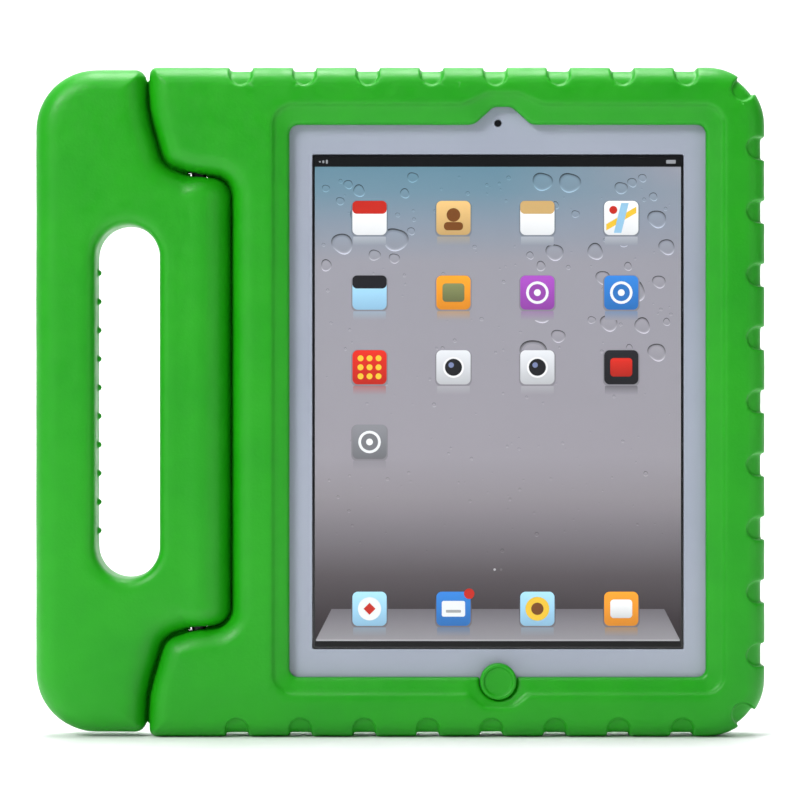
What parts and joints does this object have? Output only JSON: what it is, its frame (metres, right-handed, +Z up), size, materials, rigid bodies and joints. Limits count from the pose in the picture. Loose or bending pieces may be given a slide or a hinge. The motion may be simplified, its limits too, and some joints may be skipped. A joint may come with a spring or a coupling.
{
  "type": "tablet case",
  "caption": "Thick foam tablet case with a front window, grooved edge and a wide carrying handle that swivels on a rod to serve as a stand.",
  "frame": {"origin": "under the middle of the case, on the surface that it stands on", "axes": "+X to the right across the front, +Y from the front to the back, +Z up; the hinge of the handle is parallel to Z"},
  "size_m": [0.2924, 0.027, 0.2682],
  "materials": {
    "green_foam": "satin moulded foam skin",
    "dark_steel": "blackened",
    "black_nylon": "matte",
    "tablet_aluminium": "bead blasted",
    "white_bezel": "gloss",
    "display_grey": "gloss",
    "lens_black": "gloss"
  },
  "bodies": {
    "case": {"case_body": "green_foam", "hinge_rod": "dark_steel", "hinge_socket_upper": "black_nylon", "hinge_socket_lower": "black_nylon", "tablet_housing": "tablet_aluminium", "tablet_bezel": "white_bezel", "tablet_display": "display_grey", "tablet_front_camera": "lens_black", "tablet_rear_camera": "lens_black"},
    "handle": {"handle": "green_foam", "hinge_bush_upper": "black_nylon", "hinge_bush_lower": "black_nylon"},
    "home_button": {"home_button_cover": "green_foam", "tablet_home_button": "white_bezel"},
    "power_button": {"power_button_cover": "green_foam", "tablet_power_button": "tablet_aluminium"},
    "volume_button": {"volume_button_cover": "green_foam", "tablet_volume_button": "tablet_aluminium"}
  },
  "joints": [
    {"name": "handle_swivel", "type": "hinge", "parent": "case", "child": "handle", "pos_m": [-0.0808, 0, 0.1341], "axis": [0, 0, -1], "range_deg": [-90, 90]},
    {"name": "home_press", "type": "slide", "parent": "case", "child": "home_button", "axis": [0, 1, 0], "range_m": [0, 0.0008], "stiffness_N_per_m": 800},
    {"name": "power_press", "type": "slide", "parent": "case", "child": "power_button", "axis": [0, 0, -1], "range_m": [0, 0.0006], "stiffness_N_per_m": 800},
    {"name": "volume_press", "type": "slide", "parent": "case", "child": "volume_button", "axis": [-1, 0, 0], "range_m": [0, 0.0006], "stiffness_N_per_m": 800}
  ]
}
